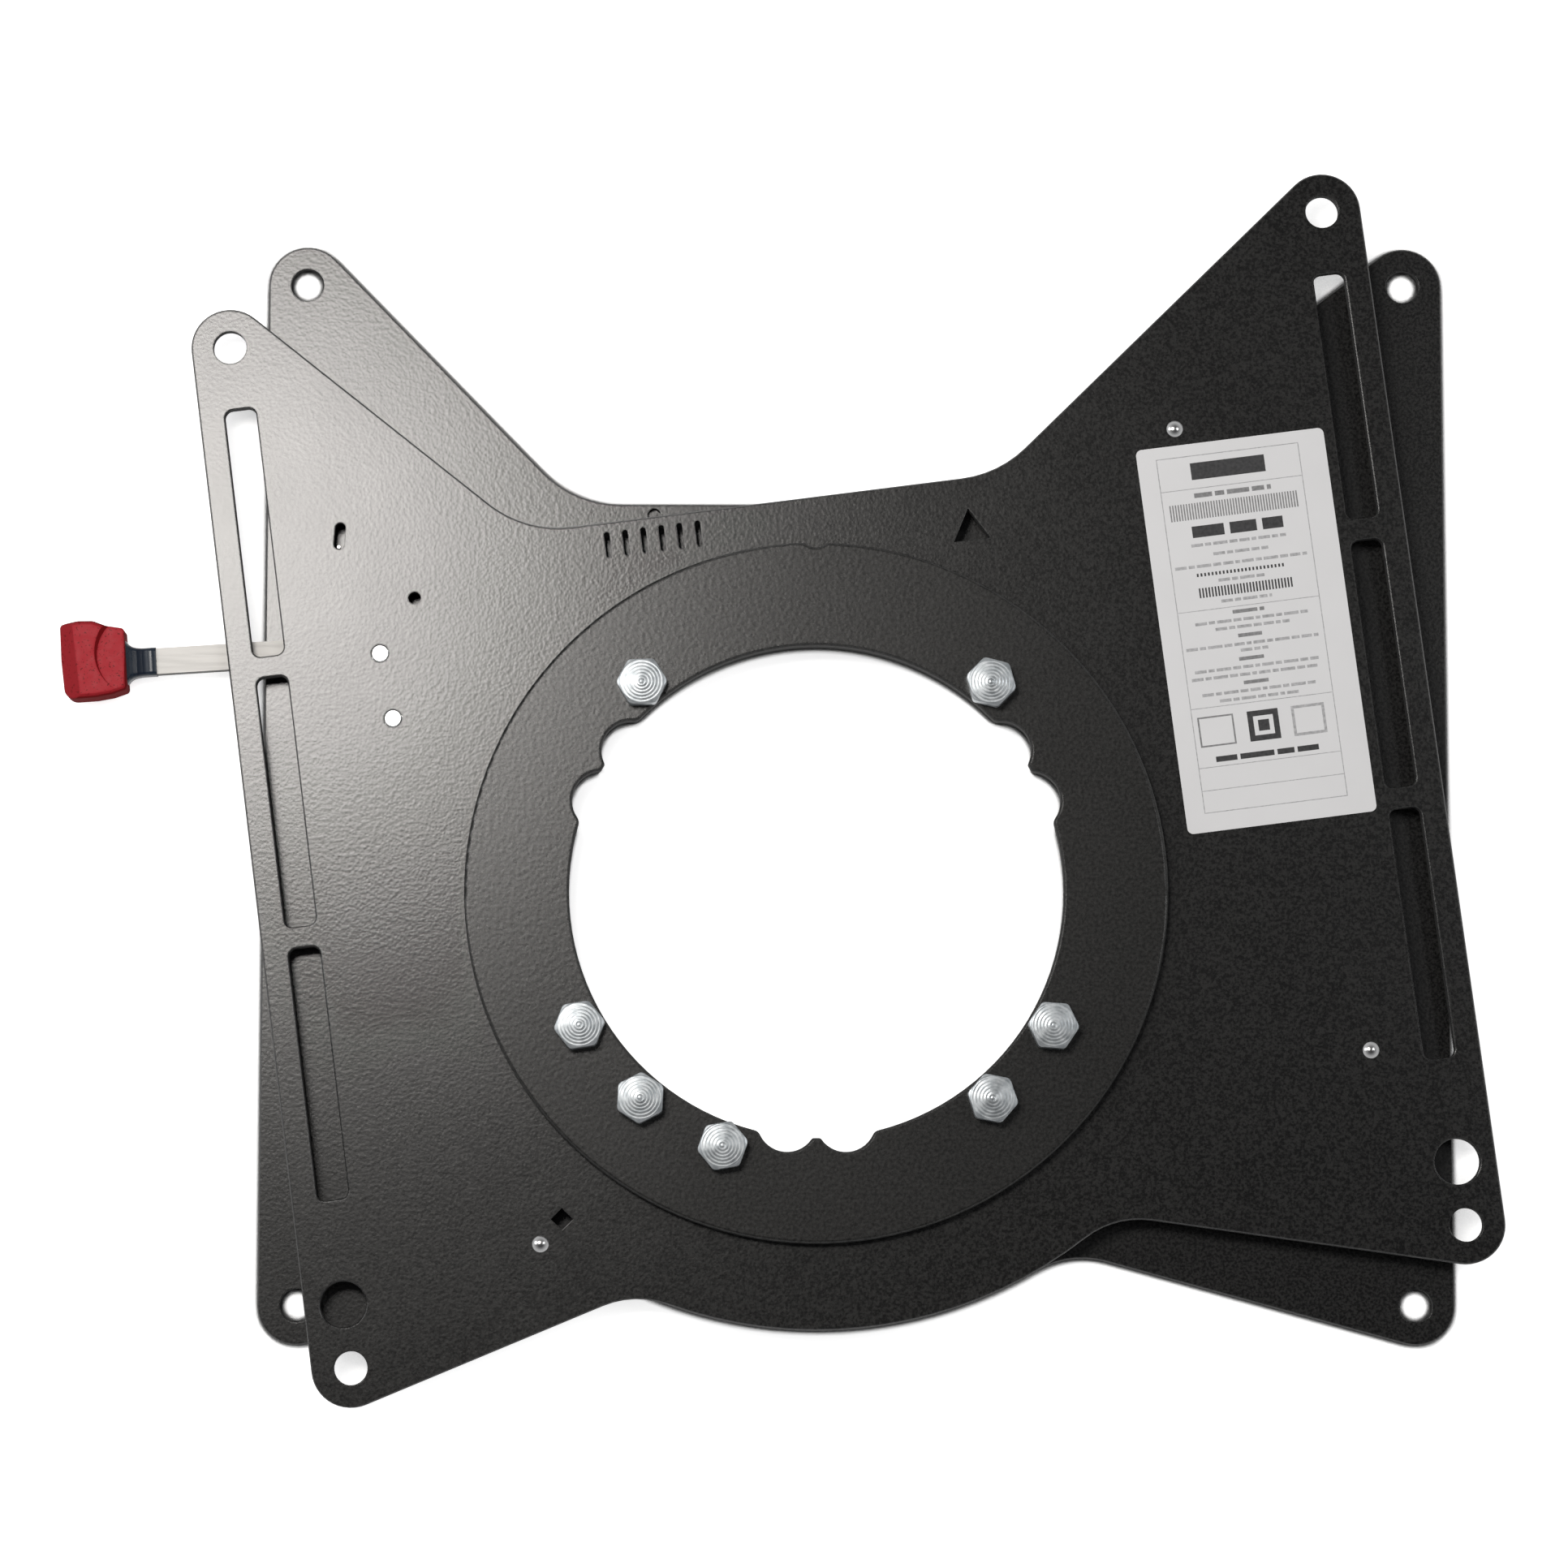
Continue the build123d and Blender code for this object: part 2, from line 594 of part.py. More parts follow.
def knob():
    # an uneven block: bevelled towards its outer end, dished for the thumb at its inner one
    inner = -SLEEVE_FROM - SLEEVE_L
    top = LEVER_Z + KNOB_H
    low = [(inner + x, LEVER_OFFSET + y) for x, y in KNOB_LOW_SIDE]
    high = [(inner + x, LEVER_OFFSET + y) for x, y in KNOB_HIGH_SIDE]
    tip = (inner - KNOB_L, LEVER_OFFSET + 1.9)
    outline = Polygon(*high, tip, *reversed(low), align=None)
    outline = round_at(outline, (low[0], high[0], high[-1]), KNOB_CORNER_R)
    outline = round_at(outline, (low[-1],), KNOB_HEEL_R)
    outline = round_at(outline, (low[1], low[2], high[1], high[2], high[3]), KNOB_SIDE_R)
    body = slab(outline, LEVER_Z, KNOB_H)
    body = fillet(edge_loop(body, top, True), KNOB_EDGE_R)
    # bevel towards the outer end
    fall = FACET_DROP / (KNOB_L - FACET_FROM)
    reach = 2 * KNOB_L
    wedge = Polygon((0, 0), (-reach, -fall * reach), (-reach, KNOB_L), (0, KNOB_L), align=None)
    wedge = extrude(Plane.XZ * wedge, 2 * KNOB_L, both=True)
    body = body - Pos(inner - FACET_FROM, LEVER_OFFSET, top) * Rot(0, 0, FACET_TURN) * wedge
    # thumb dish with a sloping wall, deepest towards the high side
    dish = Pos(0, 0, THUMB_R / 2) * Cone(THUMB_R - THUMB_DEPTH, 2 * THUMB_R - THUMB_DEPTH, THUMB_R)
    body = body - Pos(inner + THUMB_X, LEVER_OFFSET + THUMB_Y, top - THUMB_DEPTH) * Rot(-THUMB_TILT, 0, 0) * dish
    return body - bar_core()


def spring_line():
    # both ends of the return spring in the plate's frame
    eye = lever_to_plate(spring_eye())
    dx = ANCHOR_X - eye[0]
    dy = ANCHOR_Y - eye[1]
    far = math.hypot(dx, dy)
    back = ANCHOR_L / 2 - WIRE_D
    hook = (ANCHOR_X - dx / far * back, ANCHOR_Y - dy / far * back)
    return eye, hook, math.degrees(math.atan2(dy, dx))


def anchor_slot():
    eye, hook, way = spring_line()
    return Pos(ANCHOR_X, ANCHOR_Y) * Rot(0, 0, way) * SlotOverall(ANCHOR_L, ANCHOR_W)


def lever_spring():
    eye, hook, way = spring_line()
    far = math.hypot(hook[0] - eye[0], hook[1] - eye[1])
    z = LEVER_Z + LEVER_T / 2
    r = WIRE_D / 2
    coil_r = SPRING_D / 2
    coils_l = SPRING_COILS * WIRE_D
    start = (far - coils_l) / 2
    end = start + coils_l
    # closed coils, drawn as a row of ribs on one axis
    profile = [(start, 0)]
    for i in range(SPRING_COILS):
        x = start + i * WIRE_D
        profile.append((x, coil_r - r))
        profile.append((x + r / 2, coil_r))
        profile.append((x + WIRE_D - r / 2, coil_r))
    profile.append((end, coil_r - r))
    profile.append((end, 0))
    coils = revolve(Plane.XZ * Polygon(*profile, align=None), Axis.X)
    # one end turns up through the plate's slot, the other goes over the bar and down its eye
    up = UPPER_TOP - z - r
    over = LEVER_T / 2 + r
    down = -LEVER_T / 2 + r
    back = start - SPRING_EYE_RUN
    hook_line = FilletPolyline((end, 0, 0), (far, 0, 0), (far, 0, up), radius=SPRING_HOOK_BEND)
    eye_line = FilletPolyline(
        (start, 0, 0), (back, 0, 0), (back, 0, over), (0, 0, over), (0, 0, down), radius=SPRING_EYE_BEND)
    wires = []
    for line, side, x in ((hook_line, 1, end), (eye_line, -1, start)):
        face = Plane((x, 0, 0), z_dir=(side, 0, 0)) * Circle(r)
        wires.append(sweep(face, path=line))
    body = coils + wires[0] + wires[1]
    return Pos(eye[0], eye[1], z) * Rot(0, 0, way) * body


def label():
    sheet = RectangleRounded(LABEL_W, LABEL_L, LABEL_CORNER_R)
    return Pos(LABEL_X, LABEL_Y) * slab(sheet, UPPER_TOP, LABEL_T)


def on_turntable(shape):
    return Rot(0, 0, REST_TURN) * shape


def on_lever(shape):
    return on_turntable(Pos(PIVOT_X, PIVOT_Y) * Rot(0, 0, LEVER_TURN) * shape)


parts = {
    "lower_plate": lower_plate(),
    "index_ring": index_ring(),
    "hub_ring": hub_ring(),
    "lower_slide_ring": slide_ring(HUB_Z),
    "upper_slide_ring": slide_ring(TOP_SLIDE_Z),
    "clamp_ring": clamp_ring(),
    "upper_plate": on_turntable(upper_plate()),
    "lever_pivot": on_turntable(shoulder_pin((PIVOT_X, PIVOT_Y), PIN_D, PIN_HEAD_D)),
    "pivot_washer": on_turntable(washer((PIVOT_X, PIVOT_Y), PIN_D)),
    "lever_stop": on_turntable(shoulder_pin((STOP_X, STOP_Y), STOP_PIN_D, PIN_HEAD_D)),
    "lever_spring": on_turntable(lever_spring()),
    "label": on_turntable(label()),
    "lever_bar": on_lever(lever_bar()),
    "lever_sleeve": on_lever(sleeve()),
    "lever_knob": on_lever(knob()),
}
for i, (angle, turn) in enumerate(zip(BOLT_ANGLES, BOLT_TURNS)):
    parts[f"ring_bolt_{i + 1}"] = ring_bolt(angle, turn)
for i, place in enumerate(PAD_PLACES):
    parts[f"glide_pad_{i + 1}"] = on_turntable(glide_pad(place))
    parts[f"pad_rivet_{i + 1}"] = on_turntable(pad_rivet(place))

os.makedirs("parts", exist_ok=True)
for name, shape in parts.items():
    export_step(shape, f"parts/{name}.step")
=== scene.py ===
# %% [markdown]
# # A swivel seat base, dressed in Blender
#
# The real object is a flat turntable that lets the seat of a camper van face the table. Two
# black steel plates with the same bow-tie outline lie one over the other, a stack of rings
# holds them together round a big scalloped opening, and a red-knobbed lever locks them.
#
# Every solid comes from a CAD model that is already at its real size, so nothing is placed by
# eye. The lesson is about the looks: how powder coat, zinc plate, moulded plastic and printed
# paper differ, and how little of each effect is needed. The first step loads the frame and
# measures it. Lengths are metres unless a line says millimetres, and `MM` turns millimetres
# into metres.

# %% Load the frame and measure it
import math

import bpy
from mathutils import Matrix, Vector


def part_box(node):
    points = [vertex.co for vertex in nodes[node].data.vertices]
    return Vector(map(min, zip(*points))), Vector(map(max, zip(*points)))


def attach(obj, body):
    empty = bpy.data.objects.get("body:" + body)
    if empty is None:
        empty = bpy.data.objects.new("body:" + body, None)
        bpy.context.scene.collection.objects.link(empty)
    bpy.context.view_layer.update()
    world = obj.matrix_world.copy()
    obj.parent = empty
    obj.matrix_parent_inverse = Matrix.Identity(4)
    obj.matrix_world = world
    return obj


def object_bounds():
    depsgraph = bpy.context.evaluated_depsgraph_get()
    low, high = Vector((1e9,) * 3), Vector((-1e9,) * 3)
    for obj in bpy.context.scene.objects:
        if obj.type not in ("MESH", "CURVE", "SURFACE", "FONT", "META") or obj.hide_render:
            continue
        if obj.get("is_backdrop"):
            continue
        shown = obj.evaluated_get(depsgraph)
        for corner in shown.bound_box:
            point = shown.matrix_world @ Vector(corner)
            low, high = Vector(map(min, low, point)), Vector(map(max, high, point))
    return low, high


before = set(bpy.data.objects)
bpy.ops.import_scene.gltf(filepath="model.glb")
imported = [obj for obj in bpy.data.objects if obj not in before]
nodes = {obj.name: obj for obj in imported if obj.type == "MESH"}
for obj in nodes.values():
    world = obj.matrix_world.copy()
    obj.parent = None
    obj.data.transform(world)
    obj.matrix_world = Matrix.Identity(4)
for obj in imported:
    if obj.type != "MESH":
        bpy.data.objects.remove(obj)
cad_low, cad_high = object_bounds()

MM = 0.001
LABEL_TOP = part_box("label")[1].z
# the upper plate and all it carries stand turned against the lower plate
SHOWN_TURN = math.radians(7.33)

bpy.ops.object.select_all(action="DESELECT")
print("CAD box in mm:", [round(v / MM, 1) for v in (*cad_low, *cad_high)])

# %% [markdown]
# ## The camera
#
# The photograph was taken from almost straight above, from about two metres, with the lever
# to the left. A long lens from that distance keeps the four ears nearly free of perspective.
# The place and the turn of the camera were worked out from twenty points of the object whose
# place on the real thing is known, such as the ear holes and the bolt heads. The same fit
# gives the focal length in pixels of the picture, and the lens follows from it. The Standard
# view shows a colour on the screen as it is written in a material.

# %% Camera
PICTURE = 1932
FOCAL_PIXELS = 6857.2
SENSOR_MM = 36.0
CAMERA_PLACE = (-0.02498, -0.20255, 2.0)
CAMERA_TURN = (6.9349, -0.3906, 0.0278)

camera_data = bpy.data.cameras.new("picture camera")
camera_data.sensor_width = SENSOR_MM
camera_data.lens = SENSOR_MM * FOCAL_PIXELS / PICTURE
camera_data.clip_start = 0.1
camera_data.clip_end = 20.0
camera = bpy.data.objects.new("picture camera", camera_data)
camera.location = CAMERA_PLACE
camera.rotation_euler = [math.radians(angle) for angle in CAMERA_TURN]
bpy.context.scene.collection.objects.link(camera)
bpy.context.scene.camera = camera
bpy.context.scene.view_settings.view_transform = "Standard"
print("lens", round(camera_data.lens, 1), "mm, standing", round(camera.location.z, 2), "m up")

# %% [markdown]
# ## Helpers for node trees
#
# Nodes are boxes that hand numbers and colours to each other. Written out one by one they
# make long code, so four short functions add the kinds that come back again and again: a sum,
# a soft step, a mix of two colours, and a measure of how open a place is.


# %% Helpers for node trees
def maths(tree, operation, *values, clamp=False):
    """One Math node. Each value is a socket or a plain number."""
    node = tree.nodes.new("ShaderNodeMath")
    node.operation = operation
    node.use_clamp = clamp
    for i, value in enumerate(values):
        if isinstance(value, (int, float)):
            node.inputs[i].default_value = value
        else:
            tree.links.new(value, node.inputs[i])
    return node.outputs[0]


def span(tree, value, low, high, new_low=0.0, new_high=1.0):
    """Maps low..high to new_low..new_high and clamps, as a soft step."""
    node = tree.nodes.new("ShaderNodeMapRange")
    node.interpolation_type = "SMOOTHSTEP"
    tree.links.new(value, node.inputs["Value"])
    limits = {"From Min": low, "From Max": high, "To Min": new_low, "To Max": new_high}
    for label, number in limits.items():
        node.inputs[label].default_value = number
    return node.outputs[0]


def colour_mix(tree, mask, low, high):
    """Low where the mask is 0 and high where it is 1."""
    node = tree.nodes.new("ShaderNodeMix")
    node.data_type = "RGBA"
    node.inputs[6].default_value = (*low, 1.0)
    node.inputs[7].default_value = (*high, 1.0)
    tree.links.new(mask, node.inputs[0])
    return node.outputs[2]


def openness(tree, reach, samples):
    """1 in the open, and less where something stands nearer than reach."""
    node = tree.nodes.new("ShaderNodeAmbientOcclusion")
    node.samples = samples
    node.inputs["Distance"].default_value = reach
    return node.outputs["AO"]


print("four node helpers")

# %% [markdown]
# ## Floor
#
# The object lies on a plain pale floor. A little glow of its own, seen only by the camera and
# in mirrors, lifts it to white without putting more light on the object.
#
# The glow would wash out every shadow, so it fades in nooks within three centimetres of the
# object. Close to the edges that stand on the floor, glow and paint both go, and a thin line of
# painted shade is left, like the contact shadow under any plate that lies flat. The camera gets
# more of the glow than the black paint does, or the paint would mirror too bright a floor.

# %% Floor
FLOOR_SIZE = 12.0
FLOOR_DROP = 0.0002
bpy.ops.mesh.primitive_plane_add(size=FLOOR_SIZE, location=(0, 0, cad_low.z - FLOOR_DROP))
floor = bpy.context.object
floor.name = "floor"
bpy.ops.object.transform_apply(location=True, rotation=False, scale=True)
floor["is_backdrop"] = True
print("floor at", round((cad_low.z - FLOOR_DROP) / MM, 2), "mm")

# %% Paint of the floor
FLOOR_PAINT = (0.84, 0.84, 0.84)
# painted shade: the floor's paint turns this dark in a thin line next to the edges that stand on
# it
PAINTED_EDGE_SHADE = (0.03, 0.03, 0.03)
NOOK_REACH = 0.03
EDGE_REACH = 0.004
GLOW = 0.60
MORE_FOR_CAMERA = 0.45

floor_finish = bpy.data.materials.new("pale floor")
floor_finish.use_nodes = True
tree = floor_finish.node_tree
tree.nodes.clear()
rays = tree.nodes.new("ShaderNodeLightPath").outputs

glow_left = span(tree, openness(tree, NOOK_REACH, 4), 0.08, 0.36, 0.0, GLOW)
# 1 away from the edges, 0 in the thin line of painted shade next to them
outside_painted_shade = span(tree, openness(tree, EDGE_REACH, 8), 0.60, 0.70)
seen = maths(tree, "MAXIMUM", rays["Is Camera Ray"], rays["Is Glossy Ray"])
seen = maths(tree, "MAXIMUM", seen, rays["Is Transmission Ray"])
gain = maths(tree, "MULTIPLY", seen, maths(tree, "MULTIPLY", glow_left, outside_painted_shade))
whiter = maths(tree, "MULTIPLY_ADD", rays["Is Camera Ray"], MORE_FOR_CAMERA, 1.0)

matt = tree.nodes.new("ShaderNodeBsdfDiffuse")
tree.links.new(colour_mix(tree, outside_painted_shade, PAINTED_EDGE_SHADE, FLOOR_PAINT), matt.inputs["Color"])
glow = tree.nodes.new("ShaderNodeEmission")
glow.inputs["Color"].default_value = (1, 1, 1, 1)
tree.links.new(maths(tree, "MULTIPLY", gain, whiter), glow.inputs["Strength"])
both = tree.nodes.new("ShaderNodeAddShader")
tree.links.new(matt.outputs[0], both.inputs[0])
tree.links.new(glow.outputs[0], both.inputs[1])
out = tree.nodes.new("ShaderNodeOutputMaterial")
tree.links.new(both.outputs[0], out.inputs["Surface"])
floor.data.materials.append(floor_finish)
print("the floor is painted, with", len(tree.nodes), "nodes")

# %% [markdown]
# ## Room and lamps
#
# Black paint shows its surroundings more than its own colour, so the room matters more than
# usual here. The room is pale all round at the height of the walls and dark overhead. The
# walls give soft light to every edge, and the dark ceiling is what the right half of the flat
# plate mirrors, which is why it looks black. The camera alone sees a white backdrop.
#
# One soft lamp hangs up and to the left. The left half of the plate mirrors it, and that
# makes the broad grey sheen of the picture. Two weaker lamps at the sides lift the shadows
# from places where the plate can't mirror them.

# %% Room
# a height of 0.45 is 27 degrees over the horizon, and 0.90 is 64 degrees
WALLS = ((0.0, (0.80, 0.80, 0.80, 1)), (0.45, (0.62, 0.62, 0.62, 1)))
CEILING = (0.90, (0.045, 0.045, 0.048, 1))
ROOM_STRENGTH = 0.75

room = bpy.data.worlds.new("room")
bpy.context.scene.world = room
room.use_nodes = True
tree = room.node_tree
tree.nodes.clear()
direction = tree.nodes.new("ShaderNodeTexCoord")
height = tree.nodes.new("ShaderNodeSeparateXYZ")
tree.links.new(direction.outputs["Generated"], height.inputs[0])
shades = tree.nodes.new("ShaderNodeValToRGB")
ramp = shades.color_ramp
ramp.elements[0].position, ramp.elements[0].color = WALLS[0]
ramp.elements[1].position, ramp.elements[1].color = CEILING
ramp.elements.new(WALLS[1][0]).color = WALLS[1][1]
tree.links.new(height.outputs["Z"], shades.inputs["Fac"])
room_light = tree.nodes.new("ShaderNodeBackground")
room_light.inputs["Strength"].default_value = ROOM_STRENGTH
tree.links.new(shades.outputs["Color"], room_light.inputs["Color"])
backdrop = tree.nodes.new("ShaderNodeBackground")
backdrop.inputs["Color"].default_value = (1, 1, 1, 1)
backdrop.inputs["Strength"].default_value = 1.0
rays = tree.nodes.new("ShaderNodeLightPath")
choose = tree.nodes.new("ShaderNodeMixShader")
tree.links.new(rays.outputs["Is Camera Ray"], choose.inputs["Fac"])
tree.links.new(room_light.outputs[0], choose.inputs[1])
tree.links.new(backdrop.outputs[0], choose.inputs[2])
out = tree.nodes.new("ShaderNodeOutputWorld")
tree.links.new(choose.outputs[0], out.inputs["Surface"])
print("room: pale walls, dark ceiling")


# %% Lamps
def soft_lamp(name, place, aim, width, depth, watts, warmth=(1, 1, 1)):
    """A rectangular soft box that hangs at place and looks at aim."""
    data = bpy.data.lights.new(name, "AREA")
    data.shape = "RECTANGLE"
    data.size = width
    data.size_y = depth
    data.energy = watts
    data.color = warmth
    lamp = bpy.data.objects.new(name, data)
    lamp.location = place
    lamp.rotation_euler = (Vector(aim) - Vector(place)).to_track_quat("-Z", "Y").to_euler()
    bpy.context.scene.collection.objects.link(lamp)


soft_lamp("window lamp", (-0.487, 0.382, 1.5), (-0.487, 0.382, 0),
          0.63, 0.373, 12.8, (1.0, 0.968, 0.93))
soft_lamp("right lamp", (0.95, 0.28, 1.5), (0.1, 0.0, 0), 0.5, 0.5, 3.2)
soft_lamp("left wall lamp", (-1.9, 0.5, 1.5), (0, 0, 0), 1.0, 1.0, 8.0)
print("three soft lamps")

# %% [markdown]
# ## Effects that several finishes share
#
# A node group is a small machine with named knobs. Each group here puts out a height or a
# mask, never a shader, so that every material keeps its own shader with its own plain
# numbers. Their patterns read Object coordinates, which are the metres of the frame, so a
# grain of two millimetres is two millimetres on every piece.
#
# - *orange peel* is the fine leather-like skin of powder coat and moulded plastic.
# - *cloudiness* is the slow change of tone that any painted or plated surface has.
# - *speckle* is a fine grain of light and dark points, also used for dust.
# - *scratches* are fine handling marks, all drawn out in one direction.
# - *upright sides* marks the faces that lean further from level than a limit. The coat's
#   walls are made duller with it, and the walls of the knob and the bar get a painted shade.


# %% Helpers for node groups
def new_group(name, numbers, result):
    """An empty group. numbers are its knobs with their start values, result is its output."""
    group = bpy.data.node_groups.new(name, "ShaderNodeTree")
    place = group.interface.new_socket("Position", in_out="INPUT", socket_type="NodeSocketVector")
    place.hide_value = True
    for label, value in numbers.items():
        knob = group.interface.new_socket(label, in_out="INPUT", socket_type="NodeSocketFloat")
        knob.default_value = value
    group.interface.new_socket(result, in_out="OUTPUT", socket_type="NodeSocketFloat")
    return group, group.nodes.new("NodeGroupInput"), group.nodes.new("NodeGroupOutput")


def noise(tree, position, per_metre, detail, roughness):
    """One Noise node, read as a value round 0.5. per_metre is a socket: blobs in a metre."""
    node = tree.nodes.new("ShaderNodeTexNoise")
    node.inputs["Detail"].default_value = detail
    node.inputs["Roughness"].default_value = roughness
    tree.links.new(position, node.inputs["Vector"])
    tree.links.new(per_metre, node.inputs["Scale"])
    return node.outputs[0]


def soft_mask(name, size_knob, size, contrast, detail, roughness):
    """A group of noise that is spread round 0.5 by its contrast."""
    group, knobs, out = new_group(name, {size_knob: size, "Contrast": contrast}, "Mask")
    per_metre = maths(group, "DIVIDE", 1.0, knobs.outputs[size_knob])
    blobs = noise(group, knobs.outputs["Position"], per_metre, detail, roughness)
    centred = maths(group, "SUBTRACT", blobs, 0.5)
    spread = maths(group, "MULTIPLY", centred, knobs.outputs["Contrast"])
    group.links.new(maths(group, "ADD", spread, 0.5, clamp=True), out.inputs["Mask"])
    return group


print("helpers for groups ready")

# %% Orange peel
peel, knobs, out = new_group("orange peel", {"Cell": 0.0016, "Depth": 0.00003}, "Height")
per_metre = maths(peel, "DIVIDE", 1.0, knobs.outputs["Cell"])
dimples = peel.nodes.new("ShaderNodeTexVoronoi")
# two dimensions are enough on flat plates, and much quicker
dimples.voronoi_dimensions = "2D"
dimples.feature = "SMOOTH_F1"
dimples.inputs["Smoothness"].default_value = 0.8
peel.links.new(knobs.outputs["Position"], dimples.inputs["Vector"])
peel.links.new(per_metre, dimples.inputs["Scale"])
waves_per_metre = maths(peel, "MULTIPLY", per_metre, 0.8)
waves = noise(peel, knobs.outputs["Position"], waves_per_metre, 3.0, 0.6)
skin = maths(peel, "ADD", maths(peel, "MULTIPLY", dimples.outputs["Distance"], 0.6), waves)
peel.links.new(maths(peel, "MULTIPLY", skin, knobs.outputs["Depth"]), out.inputs["Height"])
print("group:", peel.name)

# %% Cloudiness and speckle
clouds = soft_mask("cloudiness", "Size", 0.05, 1.0, 4.0, 0.55)
speckle = soft_mask("speckle", "Grain", 0.0012, 3.0, 2.0, 0.6)
print("groups:", clouds.name, "and", speckle.name)

# %% Scratches
marks, knobs, out = new_group("scratches", {"Length": 0.02, "Thinness": 30.0}, "Mask")
split = marks.nodes.new("ShaderNodeSeparateXYZ")
squeeze = marks.nodes.new("ShaderNodeCombineXYZ")
marks.links.new(knobs.outputs["Position"], split.inputs[0])
marks.links.new(split.outputs["X"], squeeze.inputs["X"])
thin = maths(marks, "MULTIPLY", split.outputs["Y"], knobs.outputs["Thinness"])
marks.links.new(thin, squeeze.inputs["Y"])
marks.links.new(split.outputs["Z"], squeeze.inputs["Z"])
per_metre = maths(marks, "DIVIDE", 1.0, knobs.outputs["Length"])
streaks = noise(marks, squeeze.outputs[0], per_metre, 3.0, 0.6)
marks.links.new(span(marks, streaks, 0.35, 0.7), out.inputs["Mask"])
print("group:", marks.name)

# %% Upright sides
sides, knobs, out = new_group("upright sides", {"Limit": 0.5}, "Mask")
facing = sides.nodes.new("ShaderNodeNewGeometry")
split = sides.nodes.new("ShaderNodeSeparateXYZ")
sides.links.new(facing.outputs["True Normal"], split.inputs[0])
level = maths(sides, "ABSOLUTE", split.outputs["Z"])
sides.links.new(maths(sides, "LESS_THAN", level, knobs.outputs["Limit"]), out.inputs["Mask"])
print("group:", sides.name)

# %% [markdown]
# ## One way to make a finish
#
# Every finish below is one Principled shader with a few masks wired to it. A solid from CAD
# has perfectly sharp edges, and a real edge never is: it catches a thin line of light. The
# Bevel node shades an edge as if it were rounded and leaves the mesh alone, so the shape and
# the size stay those of the CAD model.


# %% Finish
class Finish:
    """A new material with one Principled shader, Object coordinates and short ways to wire it."""

    def __init__(self, name, colour, roughness, metallic=0.0):
        self.material = bpy.data.materials.new(name)
        self.material.use_nodes = True
        self.tree = self.material.node_tree
        self.shader = self.tree.nodes["Principled BSDF"]
        self.set("Base Color", (*colour, 1.0))
        self.set("Roughness", roughness)
        self.set("Metallic", metallic)
        self.here = self.tree.nodes.new("ShaderNodeTexCoord").outputs["Object"]

    def set(self, socket, value):
        self.shader.inputs[socket].default_value = value

    def feed(self, socket, value):
        self.tree.links.new(value, self.shader.inputs[socket])

    def group(self, group, position=None, **numbers):
        node = self.tree.nodes.new("ShaderNodeGroup")
        node.node_tree = group
        self.tree.links.new(position or self.here, node.inputs["Position"])
        for label, value in numbers.items():
            node.inputs[label].default_value = value
        return node.outputs[0]

    def moved(self, place=(0, 0, 0), turn=0.0):
        """Object coordinates counted from another place, and turned about Z."""
        node = self.tree.nodes.new("ShaderNodeMapping")
        node.vector_type = "TEXTURE"
        node.inputs["Location"].default_value = place
        node.inputs["Rotation"].default_value = (0, 0, turn)
        self.tree.links.new(self.here, node.inputs["Vector"])
        return node.outputs[0]

    def between(self, mask, low, high):
        """A number that a mask picks between low and high."""
        return span(self.tree, mask, 0.0, 1.0, low, high)

    def blend(self, mask, low, high):
        """A mask picks the colour between two colours."""
        self.feed("Base Color", colour_mix(self.tree, mask, low, high))

    def bump(self, height, edge=0.0):
        """Height in metres. Sharp edges can be shaded as if they were rounded by edge metres."""
        node = self.tree.nodes.new("ShaderNodeBump")
        node.inputs["Distance"].default_value = 1.0
        if edge:
            rounding = self.tree.nodes.new("ShaderNodeBevel")
            rounding.samples = 4
            rounding.inputs["Radius"].default_value = edge
            self.tree.links.new(rounding.outputs[0], node.inputs["Normal"])
        self.tree.links.new(height, node.inputs["Height"])
        self.feed("Normal", node.outputs[0])

    def put_on(self, *names):
        for name in names:
            mesh = nodes[name].data
            for i in range(len(mesh.materials)):
                mesh.materials[i] = self.material


def scaled(colour, factor):
    return tuple(factor * c for c in colour)


print("Finish is ready")

# %% [markdown]
# ## Black powder coat
#
# Powder coat is plastic baked onto steel. Its skin is slightly wavy, so it mirrors a lamp as
# a broad grainy sheen and not as a sharp picture. The colour itself is nearly black. What
# makes it read as paint is the bump: cells of about 1.3 millimetres, less than three
# hundredths deep, and a speckle in the colour that follows the size of the cells. The clamp
# ring has wider cells than the plates, a paler colour, less gloss and less speckle.
#
# On upright walls the coat is nearly matt. They are thin lines in the picture, and a gloss
# there would only glitter.

# %% Powder coat of the plates
COAT_EDGE = 0.6 * MM
WALL_ROUGHNESS = 0.85


def powder_coat(name, colour, roughness, gloss, cell, depth, specks):
    """cell and depth are those of the orange peel, specks is how far the speckle changes
    the colour, as a share of it."""
    coat = Finish(name, colour, roughness)
    coat.set("Specular IOR Level", gloss)
    grain = coat.group(speckle, Grain=0.8 * cell, Contrast=5.0 * specks)
    coat.blend(grain, scaled(colour, 1.05 - specks), scaled(colour, 1.05 + specks))
    slow = coat.group(clouds, Size=0.03, Contrast=1.0)
    tone = coat.between(slow, roughness - 0.01, roughness + 0.01)
    wall = maths(coat.tree, "MULTIPLY", coat.group(sides), WALL_ROUGHNESS)
    coat.feed("Roughness", maths(coat.tree, "MAXIMUM", tone, wall))
    coat.bump(coat.group(peel, Cell=cell, Depth=depth), COAT_EDGE)
    return coat


plate_coat = powder_coat("plate powder coat", (0.0100, 0.0099, 0.0095),
                         0.237, 0.75, 0.0013, 0.000027, 1.0)
plate_coat.put_on("lower_plate", "upper_plate", "index_ring", "hub_ring")
print("plates are coated")

# %% Powder coat of the clamp ring
ring_coat = powder_coat("ring powder coat", (0.0165, 0.0163, 0.0156),
                        0.251, 0.57, 0.0015, 0.000028, 0.62)
ring_coat.put_on("clamp_ring")
print("clamp ring is coated")

